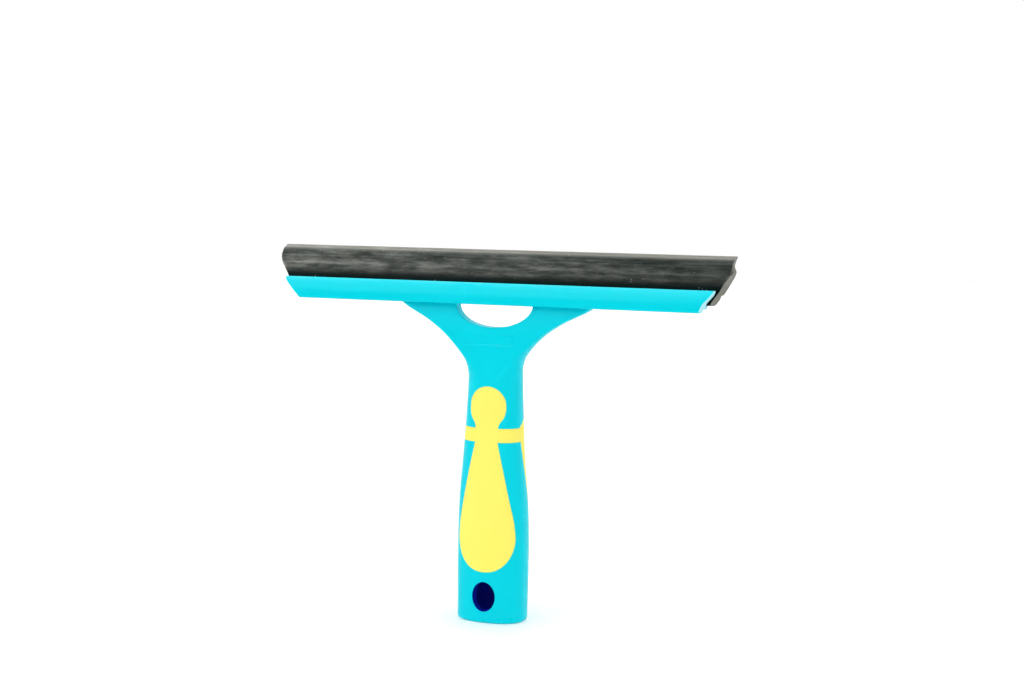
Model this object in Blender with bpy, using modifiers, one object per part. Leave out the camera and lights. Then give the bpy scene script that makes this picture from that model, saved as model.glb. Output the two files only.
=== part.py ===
"""Window squeegee: a hollow two-colour handle, a blade channel and a rubber blade.

Units are metres, with +Z up. The squeegee stands on its handle's end, its front faces -Y, and
the origin is on the floor under the middle of the handle. The channel and the rubber are drawn
in the head frame: its X runs along the blade, its Y back from the channel's front face, and its
Z up that face, which leans back by HEAD_TILT.
"""
import bpy
import bmesh
from math import atan, cos, pi, radians, sin, sqrt
from mathutils import Matrix

MM = 0.001
GAP = 0.3 * MM

# Handle and neck, as (height, size) stations in millimetres
HALF_WIDTH = [(0, 18.6), (40, 18.9), (65, 18.2), (90, 16.1), (127, 14.3), (135, 14.9), (141, 17.8),
              (151, 27.2), (158, 37.3), (165, 51), (172, 61)]
FRONT_DEPTH = [(0, 13.7), (64, 13.7), (86, 13.4), (104, 12.4), (127, 11.3), (150, 8), (172, 2.7)]
REAR_DEPTH = [(0, 13.7), (40, 13.7), (86, 11.4), (127, 11.2), (135, 8), (143, 3), (155, 0.7), (172, 3.6)]
NECK_START = 127 * MM
LOFT_TOP = 172 * MM
ROUNDNESS = 2.4
BASE_RADIUS = 1.8 * MM
SIDES = 40
HANDLE_ROWS = 17
NECK_ROWS = 15
SHARP_ANGLE = radians(35)

# Pole socket and hanging hole
SOCKET_DEPTH = 80 * MM
SOCKET_MOUTH_RADIUS = 10.8 * MM
SOCKET_END_RADIUS = 8.6 * MM
HANG_HEIGHT = 14.1 * MM
HANG_HALF_WIDTH = 6.3 * MM
HANG_HALF_HEIGHT = 7.8 * MM
HANG_REAR_SCALE = 0.78
HANG_DEPTH = 28 * MM
BORE_SIDES = 32

# Half-moon gap and blank panel in the neck
MOON_TOP = 167.4 * MM
MOON_HALF_WIDTH = 21.3 * MM
MOON_DEPTH = 12.3 * MM
PANEL_HEIGHT = 148.7 * MM
PANEL_SIZE = (25.6 * MM, 5.4 * MM)
PANEL_RECESS = 0.3 * MM
PANEL_CUTTER_DEPTH = 4 * MM

# Soft grip: a pin outline on the front, a long inlay on the rear and a ring that joins them
GRIP_THICKNESS = 1.2 * MM
PIN_HEAD_HEIGHT = 114.9 * MM
PIN_HEAD_RADIUS = 9.8 * MM
RING_BOTTOM = 95.7 * MM
RING_TOP = 102.9 * MM
HEAD_SIDE = [(102.9, 6.2), (105.2, 6.7), (108.6, 8.9), (112, 9.8), (114.9, 9.8)]
BULB_SIDE = [(46, 15.8), (54, 15.0), (65, 12.8), (79, 9.9), (95.7, 6.2)]
BULB_WIDEST = 46 * MM
BULB_BOTTOM = 27.2 * MM
BULB_SQUARENESS = 2.2
CORE_BOTTOM = 15 * MM
CORE_TOP = 130 * MM
CORE_ROWS = 16
# Front edge of the rear inlay seen from the side, as (depth, height) in millimetres
REAR_INLAY_EDGE = [(16, 27.4), (12.2, 29), (8.8, 36), (-4.4, 102.6), (4, 107.6), (8.2, 117), (13, 124.5)]
REAR_INLAY_BACK = 25

# Head frame, channel and rubber; the lists of points are in millimetres
HEAD_TILT = radians(12)
HEAD_ORIGIN = (0, -9.3 * MM, 167.2 * MM)
CHANNEL_FRONT = [(1.4, 0.0), (0.5, 0.0), (0.1, 0.3), (-0.1, 2.0), (-0.25, 4.5), (-0.1, 7.0),
                 (0.35, 9.2), (0.7, 10.6), (1.2, 11.5), (1.75, 11.8), (2.2, 11.5)]
CHANNEL_POCKET = [(2.25, 10.6), (2.25, 9.5), (2.1, 9.0), (1.6, 8.3), (1.6, 5.3), (2.2, 4.5),
                  (3.0, 4.2), (5.2, 4.2), (6.0, 4.5), (6.6, 5.3), (6.6, 8.3), (6.15, 9.0), (6.0, 9.5)]
CHANNEL_BACK = [(6.1, 9.85), (6.5, 10.0), (7.5, 10.0), (8.0, 9.5), (8.0, 3.0), (1.7, 3.0), (1.7, 0.3)]
CHANNEL_END = [(104.5, 160), (118.7, 174.6), (120.3, 178), (120.3, 190)]
RUBBER_ROOT = [(1.9, 8.2), (1.9, 5.4), (2.4, 4.8), (3.0, 4.5), (5.2, 4.5), (5.8, 4.8), (6.3, 5.4),
               (6.3, 8.2), (5.9, 8.8), (5.7, 9.3), (5.7, 10.0), (6.1, 10.35)]
RUBBER_BACK = [(7.4, 10.35), (7.9, 10.9), (8.0, 22.8), (7.8, 26.5), (8.5, 30.3)]
RUBBER_FRONT = [(8.1, 30.5), (6.15, 27.9), (6.0, 25.8), (6.4, 22.8), (2.55, 10.4), (2.5, 9.3),
                (2.3, 8.8)]
RUBBER_END = [(117.3, 160), (117.3, 170.4), (126.6, 184.5), (127.5, 188), (127.5, 200)]
SEAT_HEIGHT = 2.7 * MM
RIB_FRONT = 8.3 * MM
RIB_BACK = 11.8 * MM
RIB_BOTTOM = 0.8 * MM
RIB_TOP = 8.6 * MM
RIB_HALF_BOTTOM = 50.5 * MM
RIB_HALF_TOP = 47 * MM
PEG_PLACES = [-40 * MM, -28 * MM, 28 * MM, 40 * MM]
PEG_ROOT = 7.3 * MM
PEG_HEIGHT = 5.6 * MM
PEG_RADIUS = 1.7 * MM
PEG_HEAD_RADIUS = 2.9 * MM
PEG_HEAD_HEIGHT = 1.0 * MM
PEG_SIDES = 16

# Cutters run well past the solids they cut
CUT_DEPTH = 60 * MM
CUT_HALF_WIDTH = 80 * MM
CUT_LENGTH = 280 * MM
CUT_END = 150

TURQUOISE = (0.0, 0.63, 0.76, 1)
YELLOW = (0.97, 0.90, 0.16, 1)
BLACK = (0.045, 0.05, 0.048, 1)


def clear_scene():
    for obj in list(bpy.data.objects):
        bpy.data.objects.remove(obj, do_unlink=True)


def make_collection(name):
    collection = bpy.data.collections.new(name)
    bpy.context.scene.collection.children.link(collection)
    return collection


def material(name, colour, roughness):
    mat = bpy.data.materials.new(name)
    mat.use_nodes = True
    shader = mat.node_tree.nodes["Principled BSDF"]
    shader.inputs["Base Color"].default_value = colour
    shader.inputs["Roughness"].default_value = roughness
    shader.inputs["Metallic"].default_value = 0
    return mat


def add_object(name, mesh, collection, parent=None):
    obj = bpy.data.objects.new(name, mesh)
    collection.objects.link(obj)
    obj.parent = parent
    return obj


def as_cutter(obj):
    obj.hide_render = True
    obj.display_type = "WIRE"
    return obj


def boolean(obj, operand, operation):
    modifier = obj.modifiers.new(f"{operation.lower()} {operand.name}", "BOOLEAN")
    modifier.operation = operation
    modifier.object = operand
    modifier.solver = "EXACT"


def smooth(stations, height):
    """The size at a height, on a cubic curve through the stations; both in metres."""
    at = height / MM
    last = len(stations) - 1
    i = 0
    while i < last - 1 and at > stations[i + 1][0]:
        i += 1
    before, start, end, after = (stations[min(max(k, 0), last)] for k in (i - 1, i, i + 1, i + 2))
    span = end[0] - start[0]
    t = (at - start[0]) / span
    leave = span * (end[1] - before[1]) / (end[0] - before[0])
    arrive = span * (after[1] - start[1]) / (after[0] - start[0])
    bend = 3 * (end[1] - start[1]) - 2 * leave - arrive
    curl = leave + arrive - 2 * (end[1] - start[1])
    return (start[1] + t * (leave + t * (bend + t * curl))) * MM


def signed_power(value, power):
    return abs(value) ** power * (1 if value >= 0 else -1)


def base_inset(height):
    """How far the rounded lower edge draws the handle's wall in."""
    if height >= BASE_RADIUS:
        return 0
    return BASE_RADIUS - sqrt(BASE_RADIUS ** 2 - (BASE_RADIUS - height) ** 2)


def handle_ring(height, inset):
    """One section of the handle: a superellipse, cut flat front and rear in the neck."""
    inset = inset + base_inset(height)
    front = smooth(FRONT_DEPTH, height)
    rear = smooth(REAR_DEPTH, height)
    middle = (rear - front) / 2
    flat = (rear + front) / 2 - inset
    below_neck = min(height, NECK_START)
    full = (smooth(FRONT_DEPTH, below_neck) + smooth(REAR_DEPTH, below_neck)) / 2
    round_depth = max(flat, full - inset)
    half_width = smooth(HALF_WIDTH, height) - inset
    ring = []
    for i in range(SIDES):
        angle = 2 * pi * i / SIDES
        x = half_width * signed_power(cos(angle), 2 / ROUNDNESS)
        y = round_depth * signed_power(sin(angle), 2 / ROUNDNESS)
        ring.append((x, middle + min(max(y, -flat), flat), height))
    return ring


def handle_loft(name, heights, inset, collection):
    """A closed skin over handle sections; no primitive or modifier lofts unlike sections."""
    bm = bmesh.new()
    rings = [[bm.verts.new(point) for point in handle_ring(height, inset)] for height in heights]
    for low, high in zip(rings, rings[1:]):
        for i in range(SIDES):
            j = (i + 1) % SIDES
            bm.faces.new((low[i], low[j], high[j], high[i]))
    bm.faces.new(reversed(rings[0]))
    bm.faces.new(rings[-1])
    bmesh.ops.triangulate(bm, faces=[f for f in bm.faces if len(f.verts) > 4])
    bmesh.ops.recalc_face_normals(bm, faces=bm.faces)
    mesh = bpy.data.meshes.new(name)
    bm.to_mesh(mesh)
    bm.free()
    return add_object(name, mesh, collection)


def steps(start, end, count):
    return [start + (end - start) * i / count for i in range(count + 1)]


def flat_prism(name, outline, depth, turn, collection, parent=None):
    """A flat outline, extruded by half the depth each way, turned and welded into a mesh."""
    curve = bpy.data.curves.new(name, "CURVE")
    curve.dimensions = "2D"
    curve.fill_mode = "BOTH"
    curve.extrude = depth / 2
    spline = curve.splines.new("POLY")
    spline.points.add(len(outline) - 1)
    for point, (across, up) in zip(spline.points, outline):
        point.co = (across, up, 0, 1)
    spline.use_cyclic_u = True
    flat = add_object(name, curve, collection)
    bpy.context.view_layer.update()
    mesh = bpy.data.meshes.new_from_object(flat.evaluated_get(bpy.context.evaluated_depsgraph_get()))
    bpy.data.objects.remove(flat)
    bpy.data.curves.remove(curve)
    bm = bmesh.new()
    bm.from_mesh(mesh)
    bmesh.ops.remove_doubles(bm, verts=bm.verts, dist=0.000001)
    bmesh.ops.recalc_face_normals(bm, faces=bm.faces)
    bm.to_mesh(mesh)
    bm.free()
    mesh.transform(turn)
    mesh.name = name
    return add_object(name, mesh, collection, parent)


FACING_FRONT = Matrix.Rotation(pi / 2, 4, "X")
ALONG_BLADE = Matrix.Rotation(pi / 2, 4, "Z") @ Matrix.Rotation(pi / 2, 4, "X")


def arc(centre, radius, start, end, count):
    """Points on a circle from one angle to another, in degrees, both ends included."""
    angles = [radians(a) for a in steps(start, end, count)]
    return [(centre[0] + radius * cos(a), centre[1] + radius * sin(a)) for a in angles]


def mirrored(half):
    """A closed outline from its right half, which runs from the top to the bottom."""
    return half + [(-x, z) for x, z in reversed(half) if abs(x) > 0.0001 * MM]


def pin_outline(grow):
    """The grip's pin: a round head that runs into a neck, and a long bulb, grown by a clearance."""
    half = arc((0, PIN_HEAD_HEIGHT), PIN_HEAD_RADIUS + grow, 90, 0, 9)
    for height in steps(PIN_HEAD_HEIGHT, RING_TOP, 8)[1:]:
        half.append((smooth(HEAD_SIDE, height) + grow, height))
    for height in steps(RING_BOTTOM, BULB_WIDEST, 9):
        half.append((smooth(BULB_SIDE, height) + grow, height))
    widest = BULB_SIDE[0][1] * MM + grow
    depth = BULB_WIDEST - BULB_BOTTOM + grow
    for angle in steps(0, pi / 2, 9)[1:]:
        x = widest * signed_power(cos(angle), 2 / BULB_SQUARENESS)
        half.append((x, BULB_WIDEST - depth * signed_power(sin(angle), 2 / BULB_SQUARENESS)))
    return mirrored(half)


def rear_outline(grow):
    """The rear inlay seen from the side, grown by a clearance."""
    middle = (REAR_INLAY_EDGE[0][1] + REAR_INLAY_EDGE[-1][1]) / 2
    edge = [(y * MM - grow, z * MM + (grow if z > middle else -grow)) for y, z in REAR_INLAY_EDGE]
    return edge + [(REAR_INLAY_BACK * MM, edge[-1][1]), (REAR_INLAY_BACK * MM, edge[0][1])]


def grip_prism(name, grow, collection):
    """The pin outline in front and the rear inlay behind, joined by the ring's slab."""
    pin = as_cutter(flat_prism(name, pin_outline(grow), CUT_DEPTH / 2, FACING_FRONT, collection))
    pin.data.transform(Matrix.Translation((0, -CUT_DEPTH / 4, 0)))
    slab_height = RING_TOP - RING_BOTTOM + 2 * grow
    bpy.ops.mesh.primitive_cube_add(size=1, location=(0, 0, (RING_TOP + RING_BOTTOM) / 2))
    slab = bpy.context.object
    slab.name = name + "_ring"
    slab.data.transform(Matrix.Diagonal((CUT_DEPTH, CUT_DEPTH, slab_height, 1)))
    move_to(slab, collection)
    boolean(pin, as_cutter(slab), "UNION")
    rear = flat_prism(name + "_rear", rear_outline(grow), CUT_DEPTH, ALONG_BLADE, collection)
    boolean(pin, as_cutter(rear), "UNION")
    return pin


def move_to(obj, collection):
    for old in list(obj.users_collection):
        old.objects.unlink(obj)
    collection.objects.link(obj)


def hanging_hole_cutter(collection):
    """An oval plug that narrows towards the handle's rear."""
    bpy.ops.mesh.primitive_cone_add(vertices=BORE_SIDES, radius1=HANG_REAR_SCALE, radius2=1,
                                    depth=HANG_DEPTH)
    cutter = bpy.context.object
    cutter.name = "hanging_hole_cutter"
    cutter.data.transform(Matrix.Diagonal((HANG_HALF_WIDTH, HANG_HALF_HEIGHT, 1, 1)))
    cutter.data.transform(FACING_FRONT)
    cutter.location.z = HANG_HEIGHT
    move_to(cutter, collection)
    return as_cutter(cutter)


def socket_cutter(collection):
    """A taper as deep as the socket, whose mouth runs a little past the handle's end."""
    bpy.ops.mesh.primitive_cone_add(vertices=BORE_SIDES, radius1=SOCKET_MOUTH_RADIUS,
                                    radius2=SOCKET_END_RADIUS, depth=SOCKET_DEPTH)
    cutter = bpy.context.object
    cutter.name = "socket_cutter"
    for vertex in cutter.data.vertices:
        if vertex.co.z < 0:
            vertex.co.z -= MM
    cutter.location.z = SOCKET_DEPTH / 2
    move_to(cutter, collection)
    return as_cutter(cutter)


def moon_cutter(collection):
    half = [(0, MOON_TOP)]
    half += [(MOON_HALF_WIDTH * cos(a), MOON_TOP - MOON_DEPTH * sin(a)) for a in steps(0, pi / 2, 12)]
    return as_cutter(flat_prism("moon_cutter", mirrored(half), CUT_DEPTH, FACING_FRONT, collection))


def panel_cutter(collection):
    """A thin box laid on the neck's sloping front face."""
    rise = PANEL_SIZE[1] / 2
    top = smooth(FRONT_DEPTH, PANEL_HEIGHT + rise)
    bottom = smooth(FRONT_DEPTH, PANEL_HEIGHT - rise)
    bpy.ops.mesh.primitive_cube_add(size=1)
    cutter = bpy.context.object
    cutter.name = "panel_cutter"
    cutter.data.transform(Matrix.Diagonal((PANEL_SIZE[0], PANEL_CUTTER_DEPTH, PANEL_SIZE[1], 1)))
    cutter.location = (0, PANEL_RECESS - (PANEL_CUTTER_DEPTH + top + bottom) / 2, PANEL_HEIGHT)
    cutter.rotation_euler.x = -atan((bottom - top) / PANEL_SIZE[1])
    move_to(cutter, collection)
    return as_cutter(cutter)


def peg(name, radius, head_radius, place, head, collection):
    """A turned peg through the neck's rib, with a domed head on its back."""
    length = RIB_BACK + GAP - PEG_ROOT
    profile = [(head_radius * cos(a), PEG_HEAD_HEIGHT * sin(a)) for a in steps(pi / 2, 0, 3)]
    profile += [(radius, 0), (radius, -length), (0, -length)]
    mesh = bpy.data.meshes.new(name)
    edges = [(i, i + 1) for i in range(len(profile) - 1)]
    mesh.from_pydata([(r, 0, z) for r, z in profile], edges, [])
    obj = as_cutter(add_object(name, mesh, collection, head))
    obj.location = (place, RIB_BACK + GAP, PEG_HEIGHT)
    obj.rotation_euler.x = -pi / 2
    turned = obj.modifiers.new("turned", "SCREW")
    turned.steps = turned.render_steps = PEG_SIDES
    turned.use_merge_vertices = True
    turned.merge_threshold = 0.00001
    return obj


def seat_cutter(head, collection):
    """A block above the seat, in the head frame."""
    bpy.ops.mesh.primitive_cube_add(size=1)
    block = bpy.context.object
    block.name = "seat_cutter"
    block.data.transform(Matrix.Diagonal((2 * CUT_HALF_WIDTH, CUT_DEPTH, CUT_DEPTH, 1)))
    block.parent = head
    block.location.z = SEAT_HEIGHT + CUT_DEPTH / 2
    move_to(block, collection)
    return as_cutter(block)


def grip_core(name, inset, collection):
    """The handle's skin drawn in by the grip's thickness."""
    return as_cutter(handle_loft(name, steps(CORE_BOTTOM, CORE_TOP, CORE_ROWS), inset, collection))


def build_handle(parts, tools, head):
    """Handle and neck in one hollow moulding, with the seat and rib that carry the channel."""
    heights = [BASE_RADIUS * (1 - cos(a)) for a in steps(0, pi / 2, 3)]
    heights += steps(heights[-1], NECK_START, HANDLE_ROWS)[1:]
    heights += steps(NECK_START, LOFT_TOP, NECK_ROWS)[1:]
    handle = handle_loft("handle", heights, 0, parts)
    boolean(handle, seat_cutter(head, tools), "DIFFERENCE")
    rib = [(-RIB_HALF_BOTTOM, RIB_BOTTOM), (RIB_HALF_BOTTOM, RIB_BOTTOM), (RIB_HALF_TOP, RIB_TOP),
           (-RIB_HALF_TOP, RIB_TOP)]
    rib_block = flat_prism("rib_block", rib, RIB_BACK - RIB_FRONT, FACING_FRONT, tools, head)
    rib_block.location.y = (RIB_BACK + RIB_FRONT) / 2
    boolean(handle, as_cutter(rib_block), "UNION")
    boolean(handle, socket_cutter(tools), "DIFFERENCE")
    boolean(handle, hanging_hole_cutter(tools), "DIFFERENCE")
    boolean(handle, moon_cutter(tools), "DIFFERENCE")
    boolean(handle, panel_cutter(tools), "DIFFERENCE")
    for i, place in enumerate(PEG_PLACES):
        hole = head_cylinder(f"peg_hole_{i + 1}", PEG_RADIUS + GAP, place, head, tools)
        boolean(handle, hole, "DIFFERENCE")
    recess = grip_prism("grip_recess", GAP, tools)
    boolean(recess, grip_core("recess_core", GRIP_THICKNESS + GAP, tools), "DIFFERENCE")
    boolean(handle, recess, "DIFFERENCE")
    handle.data.materials.append(material("turquoise_plastic", TURQUOISE, 0.3))
    return handle, heights


def head_cylinder(name, radius, place, head, collection):
    depth = 3 * (RIB_BACK - RIB_FRONT)
    bpy.ops.mesh.primitive_cylinder_add(vertices=PEG_SIDES, radius=radius, depth=depth)
    cylinder = bpy.context.object
    cylinder.name = name
    cylinder.parent = head
    cylinder.location = (place, (RIB_FRONT + RIB_BACK) / 2, PEG_HEIGHT)
    cylinder.rotation_euler.x = -pi / 2
    move_to(cylinder, collection)
    return as_cutter(cylinder)


def build_grip(parts, tools, heights):
    """The soft overmould: the handle's own skin inside the pin outline, front, rear and ring."""
    span = [h for h in heights if CORE_BOTTOM < h < CORE_TOP]
    grip = handle_loft("soft_grip", span, 0, parts)
    boolean(grip, grip_prism("grip_shape", 0, tools), "INTERSECT")
    boolean(grip, grip_core("grip_core", GRIP_THICKNESS, tools), "DIFFERENCE")
    grip.data.materials.append(material("yellow_soft_plastic", YELLOW, 0.55))
    return grip


def in_mm(points):
    return [(across * MM, up * MM) for across, up in points]


def end_cutter(name, edge, side, collection):
    """What is cut off one end of the channel or the rubber, seen from the front."""
    outline = edge + [(CUT_END, edge[-1][1]), (CUT_END, edge[0][1])]
    outline = in_mm([(side * x, z) for x, z in outline])
    return as_cutter(flat_prism(name, outline, CUT_DEPTH, FACING_FRONT, collection))


def build_channel(parts, tools, head):
    """Skirt and lip in front, a pocket with a narrow mouth, a back wall and four pegs."""
    section = in_mm(CHANNEL_FRONT + CHANNEL_POCKET + CHANNEL_BACK)
    channel = flat_prism("blade_channel", section, CUT_LENGTH, ALONG_BLADE, parts, head)
    for i, place in enumerate(PEG_PLACES):
        pin = peg(f"peg_{i + 1}", PEG_RADIUS, PEG_HEAD_RADIUS, place, head, tools)
        boolean(channel, pin, "UNION")
    boolean(channel, end_cutter("channel_end_right", CHANNEL_END, 1, tools), "DIFFERENCE")
    boolean(channel, end_cutter("channel_end_left", CHANNEL_END, -1, tools), "DIFFERENCE")
    channel.data.materials.append(material("turquoise_channel", TURQUOISE, 0.3))
    return channel


def build_rubber(parts, tools, head):
    """A root held in the channel, a thick wedge above it and a thin lip with a bevelled tip."""
    section = in_mm(RUBBER_ROOT + RUBBER_BACK + RUBBER_FRONT)
    rubber = flat_prism("rubber_blade", section, CUT_LENGTH, ALONG_BLADE, parts, head)
    boolean(rubber, end_cutter("rubber_end_right", RUBBER_END, 1, tools), "DIFFERENCE")
    boolean(rubber, end_cutter("rubber_end_left", RUBBER_END, -1, tools), "DIFFERENCE")
    rubber.data.materials.append(material("black_rubber", BLACK, 0.5))
    return rubber


def main():
    clear_scene()
    parts = make_collection("window_squeegee")
    tools = make_collection("cutters")
    head = bpy.data.objects.new("head_frame", None)
    parts.objects.link(head)
    head.location = HEAD_ORIGIN
    head.rotation_euler.x = -HEAD_TILT
    handle, heights = build_handle(parts, tools, head)
    grip = build_grip(parts, tools, heights)
    build_channel(parts, tools, head)
    build_rubber(parts, tools, head)
    for obj in (handle, grip):
        obj.data.shade_smooth()
        obj.data.set_sharp_from_angle(angle=SHARP_ANGLE)


main()
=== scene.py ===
"""Looks for the window squeegee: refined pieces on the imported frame, studio light and camera.

Lengths in the tables are millimetres; the meshes are built in metres, in the frame's axes.
The head frame's U runs back from the channel's front face and its V up that face.
"""
from math import cos, pi, radians, sin, sqrt
import bmesh
import bpy
from mathutils import Matrix, Vector
from mathutils.bvhtree import BVHTree
from mathutils.geometry import tessellate_polygon


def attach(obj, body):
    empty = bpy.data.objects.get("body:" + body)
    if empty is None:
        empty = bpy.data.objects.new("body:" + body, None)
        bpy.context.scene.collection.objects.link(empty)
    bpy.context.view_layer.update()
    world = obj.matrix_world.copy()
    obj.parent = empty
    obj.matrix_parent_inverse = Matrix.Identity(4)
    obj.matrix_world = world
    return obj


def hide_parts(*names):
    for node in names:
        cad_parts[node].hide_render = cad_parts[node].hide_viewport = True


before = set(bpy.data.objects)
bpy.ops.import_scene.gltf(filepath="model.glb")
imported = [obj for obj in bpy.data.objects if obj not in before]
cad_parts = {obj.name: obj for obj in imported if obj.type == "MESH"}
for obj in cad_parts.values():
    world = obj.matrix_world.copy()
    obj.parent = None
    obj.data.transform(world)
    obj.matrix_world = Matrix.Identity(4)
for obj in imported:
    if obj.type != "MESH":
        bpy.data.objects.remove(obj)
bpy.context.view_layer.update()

MM = 0.001

# Handle and neck, as (height, size) stations
HALF_WIDTH = [(0, 18.6), (40, 18.9), (65, 18.2), (90, 16.1), (127, 14.3), (135, 14.9), (141, 17.8),
              (151, 27.2), (158, 37.3), (165, 51), (172, 61)]
FRONT_DEPTH = [(0, 13.7), (64, 13.7), (86, 13.4), (104, 12.4), (127, 11.3), (150, 8), (172, 2.7)]
REAR_DEPTH = [(0, 13.7), (40, 13.7), (86, 11.4), (127, 11.2), (135, 8), (143, 3), (155, 0.7), (172, 3.6)]
NECK_START = 127
ROUNDNESS = 2.4
BASE_RADIUS = 1.8
SIDES = 144
CREASE_SOFTNESS = 0.7

HEAD_TILT = radians(12)
HEAD = Matrix.Translation((0, -9.3 * MM, 167.2 * MM)) @ Matrix.Rotation(-HEAD_TILT, 4, "X")


# ---------------------------------------------------------------- helpers
def smooth(stations, at):
    """The size at a height, on a cubic curve through the stations."""
    last = len(stations) - 1
    i = 0
    while i < last - 1 and at > stations[i + 1][0]:
        i += 1
    before, start, end, after = (stations[min(max(k, 0), last)] for k in (i - 1, i, i + 1, i + 2))
    span = end[0] - start[0]
    t = (at - start[0]) / span
    leave = span * (end[1] - before[1]) / (end[0] - before[0])
    arrive = span * (after[1] - start[1]) / (after[0] - start[0])
    bend = 3 * (end[1] - start[1]) - 2 * leave - arrive
    curl = leave + arrive - 2 * (end[1] - start[1])
    return start[1] + t * (leave + t * (bend + t * curl))


def linear(stations, at):
    """The size at a height, on straight lines between the stations."""
    for (z0, v0), (z1, v1) in zip(stations, stations[1:]):
        if at <= z1:
            return v0 + (v1 - v0) * max(at - z0, 0) / (z1 - z0)
    return stations[-1][1]


def steps(start, end, count):
    return [start + (end - start) * i / count for i in range(count + 1)]


def signed_power(value, power):
    return abs(value) ** power * (1 if value >= 0 else -1)


def soft_min(a, b, radius):
    """The smaller value, eased where the two are nearer than the radius."""
    if radius <= 0:
        return min(a, b)
    near = max(radius - abs(a - b), 0) / radius
    return min(a, b) - near * near * radius / 4


def section_sizes(z, inset):
    """Half width, depth of the round, depth of the flats and middle of one section."""
    front, rear = smooth(FRONT_DEPTH, z), smooth(REAR_DEPTH, z)
    below = min(z, NECK_START)
    full = (smooth(FRONT_DEPTH, below) + smooth(REAR_DEPTH, below)) / 2
    flat = (rear + front) / 2 - inset
    return smooth(HALF_WIDTH, z) - inset, max(flat, full - inset), flat, (rear - front) / 2


def flattened(y, round_depth, flat):
    """A depth on the round section, cut off softly at the flats of the neck."""
    softness = min(CREASE_SOFTNESS, 2 * (round_depth - flat))
    return soft_min(abs(y), flat, softness) * (1 if y >= 0 else -1)


def surface_y(x, z, side):
    """The skin's Y at a place on the front (side -1) or the rear (side 1)."""
    half_width, round_depth, flat, middle = section_sizes(z, 0)
    share = min(abs(x) / half_width, 1)
    y = round_depth * (1 - share ** ROUNDNESS) ** (1 / ROUNDNESS)
    return middle + side * flattened(y, round_depth, flat)


SLOTS = []  # the materials every new mesh starts with; filled in before the pieces are built


def flat_triangles(ring, first):
    """Triangles that close a ring, found in the plane it lies nearest to."""
    spans = [max(p[k] for p in ring) - min(p[k] for p in ring) for k in range(3)]
    keep = [k for k in range(3) if k != spans.index(min(spans))]
    outline = [Vector((p[keep[0]], p[keep[1]], 0)) for p in ring]
    return [tuple(first + i for i in triangle) for triangle in tessellate_polygon([outline])]


def mesh_object(name, points, faces, material_index=None):
    mesh = bpy.data.meshes.new(name)
    for material in SLOTS:
        mesh.materials.append(material)
    mesh.from_pydata([(x * MM, y * MM, z * MM) for x, y, z in points], [], faces)
    bm = bmesh.new()
    bm.from_mesh(mesh)
    bmesh.ops.recalc_face_normals(bm, faces=bm.faces)
    bm.to_mesh(mesh)
    bm.free()
    obj = bpy.data.objects.new(name, mesh)
    bpy.context.scene.collection.objects.link(obj)
    if material_index is not None:
        mesh.polygons.foreach_set("material_index", [material_index] * len(mesh.polygons))
    return obj


def loft(name, rings, index=None):
    """A closed skin over rings of equal length, with fanned end caps."""
    points = [p for ring in rings for p in ring]
    n = len(rings[0])
    faces = [(k * n + i, k * n + (i + 1) % n, (k + 1) * n + (i + 1) % n, (k + 1) * n + i)
             for k in range(len(rings) - 1) for i in range(n)]
    faces += flat_triangles(rings[0], 0) + flat_triangles(rings[-1], (len(rings) - 1) * n)
    return mesh_object(name, points, faces, index)


def handle_ring(z, inset):
    if z < BASE_RADIUS:
        inset = inset + BASE_RADIUS - sqrt(BASE_RADIUS ** 2 - (BASE_RADIUS - z) ** 2)
    half_width, round_depth, flat, middle = section_sizes(z, inset)
    ring = []
    for i in range(SIDES):
        angle = 2 * pi * i / SIDES
        y = round_depth * signed_power(sin(angle), 2 / ROUNDNESS)
        ring.append((half_width * signed_power(cos(angle), 2 / ROUNDNESS),
                     middle + flattened(y, round_depth, flat), z))
    return ring


def apply_booleans(obj, jobs):
    """Cuts and joins with other solids, then keeps the result as plain mesh."""
    for operation, other in jobs:
        modifier = obj.modifiers.new(other.name, "BOOLEAN")
        modifier.operation = operation
        modifier.object = other
        modifier.solver = "EXACT"
        modifier.material_mode = "INDEX"
    bpy.context.view_layer.update()
    evaluated = obj.evaluated_get(bpy.context.evaluated_depsgraph_get())
    mesh = bpy.data.meshes.new_from_object(evaluated)
    obj.modifiers.clear()
    obj.data = mesh
    for _, other in jobs:
        bpy.data.objects.remove(other)
    return obj


def prism(name, outline, low, high, index=1):
    """A front-view outline, extruded from low to high along Y."""
    return loft(name, [[(x, y, z) for x, z in outline] for y in (low, high)], index)


def through_cutter(name, outline, radius, rear_radius, index=1, fine=6):
    """Cuts right through from front to rear, rounding the edge where it leaves each face.

    outline(grow, share) gives the front-view outline, grown, at a share of the way back."""
    rings = []
    for side, r, share in ((-1, radius, 0), (1, rear_radius, 1)):
        layers = [(-3, r)] + [(r * (1 - cos(a)) - 0.05, r * (1 - sin(a))) for a in steps(0, pi / 2, fine)]
        part = [[(x, surface_y(x, z, side) - side * depth, z) for x, z in outline(grow, share)]
                for depth, grow in layers]
        rings += part if side < 0 else part[::-1]
    return loft(name, rings, index)


def mirrored(half):
    """A closed outline from its right half, which runs from the top to the bottom."""
    return half + [(-x, z) for x, z in reversed(half) if abs(x) > 0.0001]


def head_point(x, u, v):
    return tuple(c / MM for c in HEAD @ Vector((x * MM, u * MM, v * MM)))


def shade(obj, degrees):
    obj.data.shade_smooth()
    obj.data.set_sharp_from_angle(angle=radians(degrees))


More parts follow.
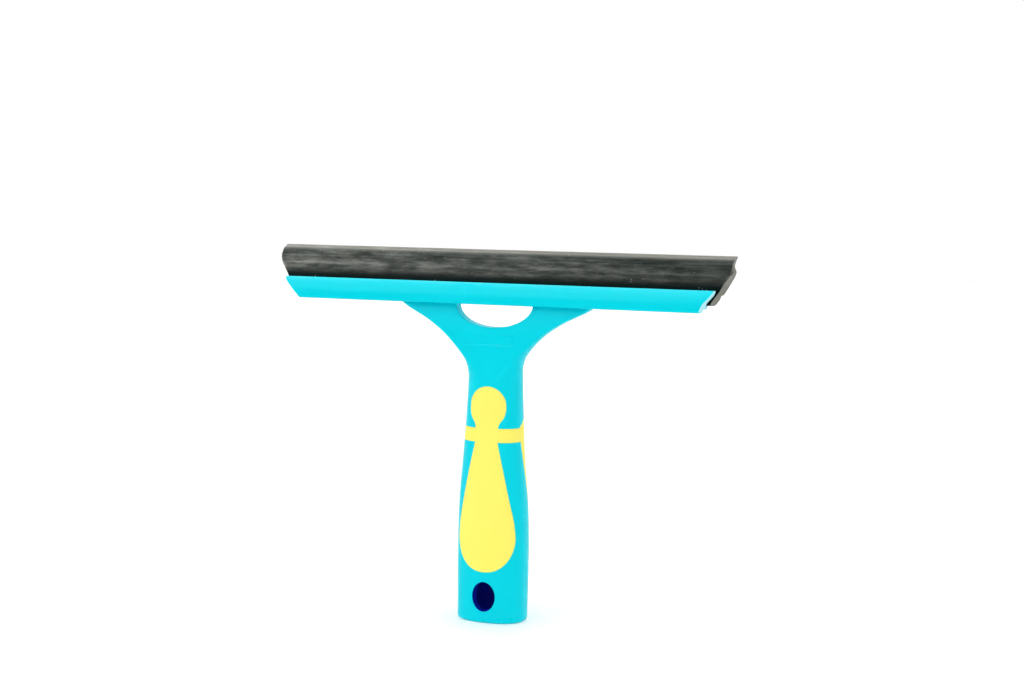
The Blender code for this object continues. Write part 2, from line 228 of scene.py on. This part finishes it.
def skin_normals(obj, reference):
    """Gives faces on the lofted skin the normals of the uncut skin, so cuts don't dent its gloss."""
    mesh, smooth_mesh = obj.data, reference.data
    tree = BVHTree.FromPolygons([v.co for v in smooth_mesh.vertices],
                                [p.vertices for p in smooth_mesh.polygons])
    vertex_normals = [v.normal.copy() for v in smooth_mesh.vertices]
    normals = [Vector((0, 0, 0))] * len(mesh.loops)
    for polygon in mesh.polygons:
        if polygon.material_index:
            continue
        for k in polygon.loop_indices:
            place = mesh.vertices[mesh.loops[k].vertex_index].co
            _, face_normal, face, distance = tree.find_nearest(place)
            if face is None or distance > 0.02 * MM:
                continue
            corners = smooth_mesh.polygons[face].vertices
            weights = [1 / max((smooth_mesh.vertices[i].co - place).length, 1e-7) for i in corners]
            normal = sum((vertex_normals[i] * w for i, w in zip(corners, weights)), Vector())
            normal.normalize()
            if normal.dot(polygon.normal) > 0.8:
                normals[k] = normal
    mesh.normals_split_custom_set(normals)


# ---------------------------------------------------------------- handle and grip
PIN_HEAD = (114.9, 9.8)
HEAD_SIDE = [(102.9, 6.2), (105.2, 6.7), (108.6, 8.9), (112, 9.8), (114.9, 9.8)]
BULB_SIDE = [(46, 15.8), (54, 15.0), (65, 12.8), (79, 9.9), (95.7, 6.2)]
BULB_WIDEST = 46
BULB_BOTTOM = 27.2
BULB_SQUARENESS = 2.2
RING = (95.7, 102.9)
REAR_INLAY_EDGE = [(16, 27.4), (12.2, 29), (8.8, 36), (-4.4, 102.6), (4, 107.6), (8.2, 117), (13, 124.5)]
GRIP_THICKNESS = 1.2
GRIP_GAP = 0.06
HOLE_HALF_SIZE = (6.3, 7.8)
HOLE_HEIGHT = 14.1
HOLE_NARROWING = 0.4
MOON_HALF_WIDTH = 21.3
MOON_DEPTH = 11.9
MOON_TOP = 167.0
PANEL_HALF_SIZE = (12.8, 2.7)
PANEL_CORNER = 0.5
PANEL_HEIGHT = 148.7
SEAT_V = 2.7
GROOVE_HALF_WIDTH = 62
GROOVE_DEPTH = 3.0
RIB_CORNER = 0.8
PEG_PLACES = (-40, -28, 28, 40)
PEG_V = 5.6
PEG_HOLE_RADIUS = 1.98


def pin_outline(grow):
    """A round head that runs into a neck, and a long bulb with a squarish round end."""
    height, radius = PIN_HEAD
    half = [(radius * cos(a), height + radius * sin(a)) for a in steps(pi / 2, 0, 30)]
    half += [(smooth(HEAD_SIDE, z), z) for z in steps(height, RING[1], 24)[1:]]
    half += [(smooth(BULB_SIDE, z), z) for z in steps(RING[0], BULB_WIDEST, 60)]
    widest, depth = BULB_SIDE[0][1], BULB_WIDEST - BULB_BOTTOM
    for angle in steps(0, pi / 2, 40)[1:]:
        x = widest * signed_power(cos(angle), 2 / BULB_SQUARENESS)
        half.append((x, BULB_WIDEST - depth * signed_power(sin(angle), 2 / BULB_SQUARENESS)))
    return grown(mirrored(half), grow)


def grown(outline, grow):
    """The outline moved outwards (or inwards, if grow is negative) along its normals."""
    if not grow:
        return outline
    n = len(outline)
    area = sum(outline[i - 1][0] * outline[i][1] - outline[i][0] * outline[i - 1][1] for i in range(n))
    sign = 1 if area > 0 else -1
    result = []
    for i in range(n):
        (ax, az), (bx, bz), (cx, cz) = outline[i - 1], outline[i], outline[(i + 1) % n]
        dx, dz = cx - ax, cz - az
        length = max(sqrt(dx * dx + dz * dz), 1e-9)
        result.append((bx + sign * grow * dz / length, bz - sign * grow * dx / length))
    return result


def rear_inlay_outline(grow):
    """The rear inlay seen from the side, with its corners eased."""
    return grown(rounded(REAR_INLAY_EDGE + [(24, 124.5), (24, 27.4)], 1.6, 6), grow)


def grip_solid(name, grow):
    """The pin outline in front and the inlay behind, joined by the ring's slab."""
    pin = prism(name, pin_outline(grow), -30, 0.5)
    low, high = RING[0] - grow, RING[1] + grow
    slab = prism(name + "_slab", [(-30, low), (30, low), (30, high), (-30, high)], -29, 29)
    side = rear_inlay_outline(grow)
    rear = loft(name + "_rear", [[(x, y, z) for y, z in side] for x in (-28, 28)], 1)
    return apply_booleans(pin, [("UNION", slab), ("UNION", rear)])


def grip_core(name, inset):
    return loft(name, [handle_ring(z, inset) for z in steps(12, 131, 60)], 1)


def oval_outline(grow, share):
    """The hanging hole, which narrows towards the rear."""
    scale = 1 - HOLE_NARROWING * share
    wide, tall = HOLE_HALF_SIZE
    return [((wide * scale + grow) * cos(a), HOLE_HEIGHT + (tall * scale + grow) * sin(a))
            for a in steps(0, 2 * pi, 64)[:-1]]


def moon_outline(grow, share):
    """The half-moon gap, the same all the way back, so the share isn't used."""
    half = [(0, 167.9), (19.9 + grow, 167.9), (20.9 + grow, 167.2)]
    half += [((MOON_HALF_WIDTH + grow) * cos(a), MOON_TOP - (MOON_DEPTH + grow) * sin(a))
             for a in steps(0.06, pi / 2, 40)]
    return mirrored(half)


def panel_outline(grow):
    """The shallow blank panel on the front of the neck."""
    x, z = (half + grow for half in PANEL_HALF_SIZE)
    corner = PANEL_CORNER
    quarter = [(x - corner + corner * cos(a), z - corner + corner * sin(a)) for a in steps(0, pi / 2, 5)]
    right = quarter[::-1] + [(px, -pz) for px, pz in quarter]
    return [(px, PANEL_HEIGHT + pz) for px, pz in mirrored(right)]


def panel_cutter():
    rings = []
    for depth, grow in ((-2, 0.12), (-0.04, 0.1), (0.04, 0.02), (0.16, -0.1)):
        rings.append([(x, surface_y(x, z, -1) + depth, z) for x, z in panel_outline(grow)])
    return loft("panel_cutter", rings, 1)


def seat_cutter():
    """Levels the top of the neck, where the channel sits."""
    corners = [(-80, -40), (80, -40), (80, 40), (-80, 40)]
    return loft("seat_cutter", [[head_point(x, u, v) for x, u in corners] for v in (SEAT_V, 40)], 1)


def groove_cutter():
    """The shadow gap between the channel's lower edge and the neck."""
    x, u = GROOVE_HALF_WIDTH, GROOVE_DEPTH
    corners = [(-x, -4), (x, -4), (x, u), (-x, u)]
    return loft("groove_cutter", [[head_point(x, u, v) for x, u in corners] for v in (-0.75, 0.5)], 1)


def rib_block():
    """The rib behind the channel, with rounded upper corners."""
    outline = [(-50.5, 0.8), (50.5, 0.8), (47.2, 7.9)]
    r = RIB_CORNER
    outline += [(46.2 + r * cos(a), 7.8 + r * sin(a)) for a in steps(radians(20), pi / 2, 5)]
    outline += [(-46.2 - r * sin(a), 7.8 + r * cos(a)) for a in steps(0, radians(70), 5)]
    outline += [(-47.2, 7.9)]
    layers = [(8.3, 0), (11.4, 0), (11.7, -0.12), (11.8, -0.4)]
    return loft("rib_block", [[head_point(x, u, v) for x, v in grown(outline, grow)]
                              for u, grow in layers], 1)


def peg_cutter(x):
    r = PEG_HOLE_RADIUS
    ring = [(r * cos(a), PEG_V + r * sin(a)) for a in steps(0, 2 * pi, 24)[:-1]]
    return loft("peg_cutter", [[head_point(x + a, u, v) for a, v in ring] for u in (6, 14)], 1)


def socket_cutter():
    """The tapered pole socket, its mouth's edge rounded; its faces take slot 2, the dark navy painted
    shade.
    """
    profile = [(-1, 11.9), (0, 11.5), (0.15, 11.15), (0.5, 10.9), (1.0, 10.8), (79.0, 8.62), (80, 7.6)]
    return loft("socket_cutter", [[(r * cos(a), r * sin(a), z) for a in steps(0, 2 * pi, 96)[:-1]]
                                  for z, r in profile], 2)


def skin_heights():
    return [0, 0.06, 0.25, 0.55, 0.95, 1.4, BASE_RADIUS] + steps(3.5, 127, 76) + steps(127, 173.5, 62)[1:]


def build_handle():
    heights = skin_heights()
    skin = loft("skin", [handle_ring(z, 0) for z in heights], 0)
    handle = skin.copy()
    handle.data = skin.data.copy()
    handle.name = "handle_moulding"
    bpy.context.scene.collection.objects.link(handle)
    recess = apply_booleans(grip_solid("grip_recess", GRIP_GAP),
                            [("DIFFERENCE", grip_core("recess_core", GRIP_THICKNESS + GRIP_GAP))])
    jobs = [("DIFFERENCE", seat_cutter()), ("DIFFERENCE", groove_cutter()),
            ("UNION", rib_block()), ("DIFFERENCE", socket_cutter()),
            # The hanging hole's walls take slot 2 too, the dark navy painted shade.
            ("DIFFERENCE", through_cutter("hole_cutter", oval_outline, 0.25, 0.4, 2)),
            ("DIFFERENCE", through_cutter("moon_cutter", moon_outline, 0.55, 0.55)),
            ("DIFFERENCE", panel_cutter())]
    jobs += [("DIFFERENCE", peg_cutter(x)) for x in PEG_PLACES]
    apply_booleans(handle, jobs + [("DIFFERENCE", recess)])
    grip = loft("soft_grip_inlay", [handle_ring(z, 0) for z in heights if 14 < z < 130], 0)
    apply_booleans(grip, [("INTERSECT", grip_solid("grip_shape", 0)),
                          ("DIFFERENCE", grip_core("grip_core", GRIP_THICKNESS))])
    for obj in (handle, grip):
        shade(obj, 40)
    skin.data.shade_smooth()
    for obj in (handle, grip):
        skin_normals(obj, skin)
    bpy.data.objects.remove(skin)
    return handle, grip


# ---------------------------------------------------------------- channel and rubber
# Sections in the head frame: the faces are (height, depth) stations, the rest (depth, height) points
CHANNEL_FACE = [(0.3, 0.1), (4, -0.3), (7.5, 0.1), (10, 0.8), (11.5, 1.6)]
CHANNEL_REST = [(1.95, 11.75), (2.2, 11.4), (2.25, 9.5), (2.1, 9.0), (1.6, 8.3), (1.6, 5.3), (2.2, 4.5),
                (3.0, 4.2), (5.2, 4.2), (6.0, 4.5), (6.6, 5.3), (6.6, 8.3), (6.15, 9.0), (6.0, 9.5),
                (6.1, 9.85), (6.5, 10.0), (7.5, 10.0), (8.0, 9.5), (8.0, 3.0), (1.7, 3.0), (1.7, 0.3),
                (1.4, 0.0), (0.5, 0.0)]
RUBBER_FACE = [(10.4, 2.55), (16, 4.0), (20, 5.5), (23, 6.25), (25.8, 6.05), (27.9, 6.2)]
RUBBER_REST = [(8.1, 30.5), (8.5, 30.3), (7.8, 26.5), (8.0, 22.8), (7.9, 10.9), (7.4, 10.35),
               (6.1, 10.35), (5.7, 10.0), (5.7, 9.3), (5.9, 8.8), (6.3, 8.2), (6.3, 5.4), (5.8, 4.8),
               (5.2, 4.5), (3.0, 4.5), (2.4, 4.8), (1.9, 5.4), (1.9, 8.2), (2.3, 8.8), (2.5, 9.3)]

# Half lengths by height; the left (-1) and right (1) ends differ a little
CHANNEL_ENDS = {-1: [(160, 104), (174.6, 119.3), (178, 121.2), (190, 121.2)],
                1: [(160, 109.5), (167, 111.4), (171.3, 113.2), (175, 116.2), (178, 117.4), (190, 117.4)]}
CHANNEL_SLANT = 0.8
CHANNEL_CUT_START = 100  # faces whose middle lies past this X are the right end's, which take the painted highlight
SKIRT_THICKNESS = 1.7
RUBBER_FRONT_ENDS = {-1: [(165, 112), (171, 116), (178, 120.6), (187, 127.3), (192, 127.8), (196, 125.6)],
                     1: [(165, 111.7), (171, 115.8), (178, 120.2), (187, 124.8), (191, 125), (196, 126.8)]}
RUBBER_BACK_ENDS = {-1: [(165, 113), (171, 117), (180, 123), (187, 128.5), (192, 128.8), (196, 126.2)],
                    1: [(165, 113.4), (171, 118), (180, 123.5), (187, 126.6), (190.5, 125.6), (196, 127)]}
RUBBER_DEPTHS = [(0, 1.9), (8.8, 2.3), (10.4, 2.55), (23, 6.25), (25.8, 6.05), (27.9, 6.2), (31, 8.4)]
FACET_DEPTHS = [(170, 4.4), (181.5, 3.2), (187, 0.6), (200, 0.4)]
BEVEL_START = 28.7


def rounded(section, softness, longest=0.45):
    """The section with its corners cut by quadratic curves and its long sides divided."""
    points = []
    n = len(section)
    for i in range(n):
        a, b, c = (Vector(section[k % n]) for k in (i - 1, i, i + 1))
        before, after = (a - b), (c - b)
        reach_in = min(softness, before.length * 0.45)
        reach_out = min(softness, after.length * 0.45)
        start, end = b + before.normalized() * reach_in, b + after.normalized() * reach_out
        points += [start.lerp(b, t).lerp(b.lerp(end, t), t) for t in (0, 0.33, 0.67, 1)]
        span = after.length - reach_out - reach_out
        following = b + after * (1 - reach_out / after.length)
        count = int(span // longest)
        points += [end.lerp(following, k / (count + 1)) for k in range(1, count + 1)]
    return [tuple(p) for p in points]


def channel_length(side, u, v):
    """The half length at a place in the section: the end's cut runs outwards to the skirt's back."""
    z = head_point(0, u, v)[2]
    return smooth(CHANNEL_ENDS[side], z) + CHANNEL_SLANT * min(max(u / SKIRT_THICKNESS, 0), 1)


def build_channel():
    """The moulding that holds the rubber; its cut right end has a painted highlight, a paler turquoise."""
    low, high = CHANNEL_FACE[0][0], CHANNEL_FACE[-1][0]
    section = [(smooth(CHANNEL_FACE, v), v) for v in steps(low, high, 30)]
    section += rounded([section[-1]] + CHANNEL_REST + [section[0]], 0.3)[4:-4]
    channel = cut_bar("blade_channel_moulding", section, channel_length,
                      [(-0.16, 0.0), (-0.05, 0.06), (0, 0.22), (0, 0.8)])
    # The right end's faces take slot 1, the paler painted highlight.
    for polygon in channel.data.polygons:
        polygon.material_index = int(polygon.center.x > CHANNEL_CUT_START * MM)
    shade(channel, 38)
    return channel


def rubber_length(side, u, v):
    """The half length at a place in the section; it grows from the front face to the back."""
    z = head_point(0, u, v)[2]
    share = min(max((u - linear(RUBBER_DEPTHS, v)) / linear(FACET_DEPTHS, z), 0), 1)
    return smooth(RUBBER_FRONT_ENDS[side], z) * (1 - share) + smooth(RUBBER_BACK_ENDS[side], z) * share


def cut_bar(name, section, length, edges):
    """A section swept along the blade between two ends, whose edges are worn by (grow, back) steps."""
    n, last = len(section), 2 * len(edges) - 1
    rings = [(grown(section, grow), back) for grow, back in edges]
    points = []
    for side, order in ((-1, rings), (1, rings[::-1])):
        for profile, back in order:
            points += [head_point(side * (length(side, u, v) - back), u, v) for u, v in profile]
    faces = [(k * n + i, k * n + (i + 1) % n, (k + 1) * n + (i + 1) % n, (k + 1) * n + i)
             for k in range(last) for i in range(n)]
    cap = tessellate_polygon([[Vector((u, v, 0)) for u, v in rings[0][0]]])
    faces += [tuple(first + i for i in tri) for first in (0, last * n) for tri in cap]
    return mesh_object(name, points, faces)


def build_rubber():
    """The strip, its oblique ends and the bevelled tip, whose cut faces get a painted highlight in pale
    grey.
    """
    low, high = RUBBER_FACE[0][0], RUBBER_FACE[-1][0]
    section = [(smooth(RUBBER_FACE, v), v) for v in steps(low, high, 36)]
    section += rounded([section[-1]] + RUBBER_REST + [section[0]], 0.22, 0.6)[4:-4]
    strip = cut_bar("rubber_blade_strip", section, rubber_length, [(-0.1, 0.0), (-0.03, 0.05), (0, 0.2)])
    # The bevelled tip and the last 0.6 mm of each end take slot 1, the pale grey painted highlight.
    to_head = HEAD.inverted()
    for polygon in strip.data.polygons:
        x, z = polygon.center.x / MM, polygon.center.z / MM
        _, u, v = (to_head @ polygon.center) / MM
        end = smooth(RUBBER_FRONT_ENDS[1 if x > 0 else -1], z)
        polygon.material_index = int((v > BEVEL_START and u < 8.35) or abs(x) > end - 0.6)
    shade(strip, 30)
    return strip


def build_peg_heads():
    """Four domed, heat-staked heads behind the rib, each on its short shank."""
    bm = bmesh.new()
    profile = [(7.4, 1.7), (12.05, 1.7), (12.08, 2.75), (12.2, 2.9), (12.45, 2.82), (12.8, 2.35),
               (13.0, 1.5), (13.03, 0.7), (12.95, 0.35)]
    count = 32
    for place in PEG_PLACES:
        rings = [[bm.verts.new(Vector(head_point(place + r * cos(a), u, PEG_V + r * sin(a))) * MM)
                  for a in steps(0, 2 * pi, count)[:-1]] for u, r in profile]
        for low, high in zip(rings, rings[1:]):
            for i in range(count):
                bm.faces.new((low[i], low[(i + 1) % count], high[(i + 1) % count], high[i]))
        bm.faces.new(rings[0])
        bm.faces.new(rings[-1])
    bmesh.ops.recalc_face_normals(bm, faces=bm.faces)
    mesh = bpy.data.meshes.new("peg_heads")
    bm.to_mesh(mesh)
    bm.free()
    pegs = bpy.data.objects.new("peg_heads", mesh)
    bpy.context.scene.collection.objects.link(pegs)
    shade(pegs, 50)
    return pegs


# ---------------------------------------------------------------- materials
class Nodes:
    """Short names for building one material's nodes."""

    def __init__(self, name):
        self.material = bpy.data.materials.new(name)
        self.material.use_nodes = True
        self.tree = self.material.node_tree
        self.shader = self.tree.nodes["Principled BSDF"]
        self.coordinates = self.tree.nodes.new("ShaderNodeTexCoord").outputs["Object"]

    def add(self, kind, inputs=(), **settings):
        node = self.tree.nodes.new("ShaderNode" + kind)
        for key, value in settings.items():
            setattr(node, key, value)
        for key, value in dict(inputs).items():
            if isinstance(value, bpy.types.NodeSocket):
                self.tree.links.new(value, node.inputs[key])
            else:
                node.inputs[key].default_value = value
        return node

    def mapped(self, scale):
        return self.add("Mapping", {"Vector": self.coordinates, "Scale": scale}).outputs["Vector"]

    def noise(self, scale, detail=3, vector=None, roughness=0.5):
        node = self.add("TexNoise", {"Vector": vector or self.coordinates, "Scale": scale,
                                     "Detail": detail, "Roughness": roughness})
        return node.outputs["Fac"]

    def ramp(self, value, low, high, start=0.0, end=1.0):
        node = self.add("MapRange", {"Value": value, "From Min": low, "From Max": high,
                                     "To Min": start, "To Max": end})
        return node.outputs["Result"]

    def math(self, operation, a, b):
        return self.add("Math", {0: a, 1: b}, operation=operation).outputs["Value"]

    def mix(self, factor, a, b):
        node = self.add("Mix", data_type="RGBA")
        for socket, value in ((node.inputs[0], factor), (node.inputs[6], a), (node.inputs[7], b)):
            if isinstance(value, bpy.types.NodeSocket):
                self.tree.links.new(value, socket)
            else:
                socket.default_value = value
        return node.outputs[2]

    def bump(self, height, distance, strength=1.0, normal=None):
        inputs = {"Height": height, "Distance": distance, "Strength": strength}
        if normal:
            inputs["Normal"] = normal
        return self.add("Bump", inputs).outputs["Normal"]

    def finish(self, links, **constants):
        for key, value in links.items():
            self.tree.links.new(value, self.shader.inputs[key])
        for key, value in constants.items():
            self.shader.inputs[key.replace("_", " ")].default_value = value
        return self.material


def plastic(name, colour, deeper, roughness, specular, grain=0.00002):
    """Moulded plastic: faint flow marks, a fine spark-eroded grain and soft handling smudges."""
    n = Nodes(name)
    flow = n.noise(14, 3, n.mapped((1, 1, 0.35)))
    smudge = n.noise(45, 4)
    grainy = n.noise(2600, 2)
    ripple = n.noise(90, 2, n.mapped((1, 1, 0.3)))
    tint = n.mix(n.ramp(flow, 0.35, 0.7), colour, deeper)
    normal = n.bump(grainy, grain, 0.6)
    normal = n.bump(ripple, 0.00012, 0.35, normal)
    return n.finish({"Base Color": tint, "Normal": normal,
                     "Roughness": n.ramp(smudge, 0.3, 0.75, roughness - 0.05, roughness + 0.09)},
                    Specular_IOR_Level=specular)


def rubber_material(name, colour, bloom_and_highlight, roughness, moulded):
    """Black rubber with long wiped streaks, pale chalky scuffs and a few specks of dust, with painted
    light.

    A broad painted highlight across the middle height, brightest at the left half, shows through the
    streaks;
    on the moulded face painted shade darkens the face low down, by the channel, and a painted highlight
    runs along the tip."""
    n = Nodes(name)
    up = n.add("VectorMath", {0: n.coordinates, 1: HEAD.to_3x3().col[2]}, operation="DOT_PRODUCT")
    height = n.math("SUBTRACT", up.outputs["Value"], HEAD.to_3x3().col[2].dot(HEAD.translation))
    across = n.add("SeparateXYZ", {0: n.coordinates}).outputs["X"]
    streaks = n.noise(380, 5, n.mapped((0.2, 1, 1)), 0.62)
    broad = n.noise(130, 4, n.mapped((0.3, 1, 1)), 0.6)
    scuffs = n.noise(900, 4, n.mapped((0.35, 1, 1)), 0.65)
    cells = n.add("TexVoronoi", {"Vector": n.coordinates, "Scale": 620}).outputs["Distance"]
    chosen = n.ramp(n.noise(210, 1), 0.62, 0.66)
    specks = n.math("MULTIPLY", n.ramp(cells, 0.18, 0.1), chosen)
    # Painted highlight: a pale stripe across the middle height of the face, brighter towards the left end;
    # the wiped streaks show through it.
    painted_highlight_stripe = n.math("MULTIPLY", n.ramp(height, 0.0135, 0.019), n.ramp(height, 0.0275, 0.0215, 0.45, 1.0))
    painted_highlight_stripe = n.math("MULTIPLY", painted_highlight_stripe, n.ramp(across, -0.13, 0.12, 1.5, 0.55))
    worn = n.math("MULTIPLY", n.ramp(streaks, 0.36, 0.64, 0.3, 1.0), n.ramp(broad, 0.38, 0.62, 0.25, 1.0))
    base = n.mix(n.math("MULTIPLY", worn, painted_highlight_stripe), colour, bloom_and_highlight)
    base = n.mix(n.math("MULTIPLY", n.ramp(scuffs, 0.55, 0.8), 0.1), base, bloom_and_highlight)
    if moulded:
        # Painted shade: darker, with a dark teal tint, low down by the channel.
        base = n.mix(n.ramp(height, 0.0155, 0.0122), base, (0.001, 0.008, 0.008, 1))
        # Painted highlight along the tip.
        base = n.mix(n.ramp(height, 0.0268, 0.0292, 0, 0.75), base, bloom_and_highlight)
    base = n.mix(n.math("MULTIPLY", specks, 0.8), base, (0.42, 0.43, 0.4, 1))
    normal = n.bump(n.noise(1800, 3), 0.00004, 0.7)
    normal = n.bump(streaks, 0.00012, 0.5, normal)
    return n.finish({"Base Color": base, "Normal": normal,
                     "Roughness": n.ramp(streaks, 0.3, 0.75, roughness - 0.1, roughness + 0.14)},
                    Specular_IOR_Level=0.02)


def paint(obj, *materials):
    """Fills the object's slots in place, so that its faces keep their slot numbers."""
    slots = obj.data.materials
    while len(slots) > len(materials):
        slots.pop()
    while len(slots) < len(materials):
        slots.append(None)
    for i, material in enumerate(materials):
        slots[i] = material


turquoise = plastic("turquoise_plastic", (0.0, 0.615, 0.725, 1), (0.0, 0.59, 0.70, 1), 0.22, 0.055)
# Painted shade: dark navy for the inside of the socket and the hanging hole's walls, standing for the
# turquoise plastic in deep shade.
painted_shade = plastic("socket_painted_shade", (0.002, 0.012, 0.36, 1), (0.002, 0.01, 0.3, 1), 0.6, 0.02)
yellow = plastic("yellow_soft_plastic", (0.92, 0.82, 0.15, 1), (0.90, 0.80, 0.135, 1), 0.5, 0.04, 0.00005)
# Painted highlight: a paler turquoise for the channel's cut right end, which catches the light.
end_highlight_plastic = plastic("end_highlight_plastic", (0.3, 0.72, 0.8, 1), (0.45, 0.8, 0.86, 1), 0.5, 0.03)
rubber = rubber_material("black_rubber", (0.009, 0.014, 0.012, 1), (0.22, 0.23, 0.21, 1), 0.4, True)
# Painted highlight: pale grey for the rubber's cut ends and bevelled tip, where they catch the light.
cut_rubber_highlight = rubber_material("cut_rubber_highlight", (0.2, 0.2, 0.175, 1), (0.42, 0.42, 0.39, 1), 0.45, False)

# Slot 2 is the painted shade inside the socket and the hanging hole.
SLOTS += [turquoise, turquoise, painted_shade]
handle, grip = build_handle()
channel = build_channel()
strip = build_rubber()
pegs = build_peg_heads()
paint(handle, turquoise, turquoise, painted_shade)
paint(grip, yellow, yellow)
paint(channel, turquoise, end_highlight_plastic)
paint(pegs, turquoise)
paint(strip, rubber, cut_rubber_highlight)

for piece, body, slot in ((handle, "holder", "turquoise_plastic"), (grip, "holder", "yellow_grip"),
                          (channel, "holder", "turquoise_plastic"), (pegs, "holder", "turquoise_plastic"),
                          (strip, "blade", "black_rubber")):
    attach(piece, body)
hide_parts("handle")
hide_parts("soft_grip")
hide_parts("blade_channel")
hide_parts("rubber_blade")


# ---------------------------------------------------------------- floor, light and camera
# What shows in gloss: directions, and strengths against the white surroundings' 1
CARD = (0.0, -1, 0.0)
SOFT_BOX = (-0.55, -0.62, 0.75)
SOFT_BOX_STRENGTH = 10
OVERHEAD = (0.0, 0.0, 1.0)
OVERHEAD_STRENGTH = 19
SURROUND_STRENGTH = 1
CAMERA_TARGET = (8.7, 0, 148.0)
CAMERA_DISTANCE = 0.886


def build_floor():
    bpy.ops.mesh.primitive_circle_add(vertices=96, radius=4, fill_type="NGON")
    floor = bpy.context.object
    floor.name = "floor"
    n = Nodes("white_acrylic")
    floor.data.materials.append(n.finish(
        {"Roughness": n.ramp(n.noise(8, 2), 0.3, 0.7, 0.3, 0.36)},
        Base_Color=(0.93, 0.935, 0.935, 1), Specular_IOR_Level=0.01,
        Emission_Color=(1, 1, 1, 1), Emission_Strength=0.12))


def add_light(name, place, target, size, power, specular=1.0):
    light = bpy.data.lights.new(name, "AREA")
    light.shape = "RECTANGLE"
    light.size, light.size_y = size
    light.energy = power
    light.specular_factor = specular
    obj = bpy.data.objects.new(name, light)
    bpy.context.scene.collection.objects.link(obj)
    obj.location = place
    obj.rotation_euler = (Vector(target) - Vector(place)).to_track_quat("-Z", "Y").to_euler()


def build_world():
    """White all round; in gloss, a dark card in front, an overhead box and one high on the left."""
    world = bpy.data.worlds.new("studio")
    bpy.context.scene.world = world
    world.use_nodes = True
    world.cycles.sampling_method = "NONE"
    tree = world.node_tree
    background = tree.nodes["Background"]
    background.inputs["Color"].default_value = (1, 1, 1, 1)

    def link(source, node, key):
        tree.links.new(source, node.inputs[key])

    def around(direction, low, high, start, end):
        dot = tree.nodes.new("ShaderNodeVectorMath")
        dot.operation = "DOT_PRODUCT"
        dot.inputs[1].default_value = Vector(direction).normalized()
        link(tree.nodes["Texture Coordinate"].outputs["Generated"], dot, 0)
        blend = tree.nodes.new("ShaderNodeMapRange")
        blend.interpolation_type = "SMOOTHSTEP"
        for key, value in (("From Min", low), ("From Max", high), ("To Min", start), ("To Max", end)):
            blend.inputs[key].default_value = value
        link(dot.outputs["Value"], blend, "Value")
        return blend.outputs["Result"]

    tree.nodes.new("ShaderNodeTexCoord")
    boxes = tree.nodes.new("ShaderNodeMath")
    link(around(OVERHEAD, 0.66, 0.97, 0.0, OVERHEAD_STRENGTH), boxes, 0)
    link(around(SOFT_BOX, 0.89, 0.97, 0.0, SOFT_BOX_STRENGTH), boxes, 1)
    total = tree.nodes.new("ShaderNodeMath")
    link(around(CARD, 0.3, 0.6, SURROUND_STRENGTH, 0.0), total, 0)
    link(boxes.outputs["Value"], total, 1)
    mix = tree.nodes.new("ShaderNodeMix")
    link(tree.nodes.new("ShaderNodeLightPath").outputs["Is Glossy Ray"], mix, 0)
    mix.inputs[2].default_value = 1.0
    link(total.outputs["Value"], mix, 3)
    link(mix.outputs[0], background, "Strength")


def build_camera():
    """Level-ish view from the right of the front, as (yaw, pitch, roll) in degrees."""
    yaw, pitch, roll = radians(21), radians(4.93), radians(0.9)
    back = Vector((sin(yaw) * cos(pitch), -cos(yaw) * cos(pitch), sin(pitch)))
    level = Vector((cos(yaw), sin(yaw), 0))
    above = back.cross(level)
    right = cos(roll) * level + sin(roll) * above
    up = cos(roll) * above - sin(roll) * level
    camera = bpy.data.cameras.new("camera")
    camera.lens = 59.6
    camera.sensor_width = 36
    obj = bpy.data.objects.new("camera", camera)
    bpy.context.scene.collection.objects.link(obj)
    place = Vector(CAMERA_TARGET) * MM + CAMERA_DISTANCE * back
    obj.matrix_world = Matrix.Translation(place) @ Matrix((right, up, back)).transposed().to_4x4()
    bpy.context.scene.camera = obj


build_floor()
build_world()
add_light("key", (-0.9, -1.3, 1.3), (0, 0, 0.12), (1.2, 1.2), 4, 0.0)
build_camera()
bpy.context.scene.view_settings.view_transform = "Standard"
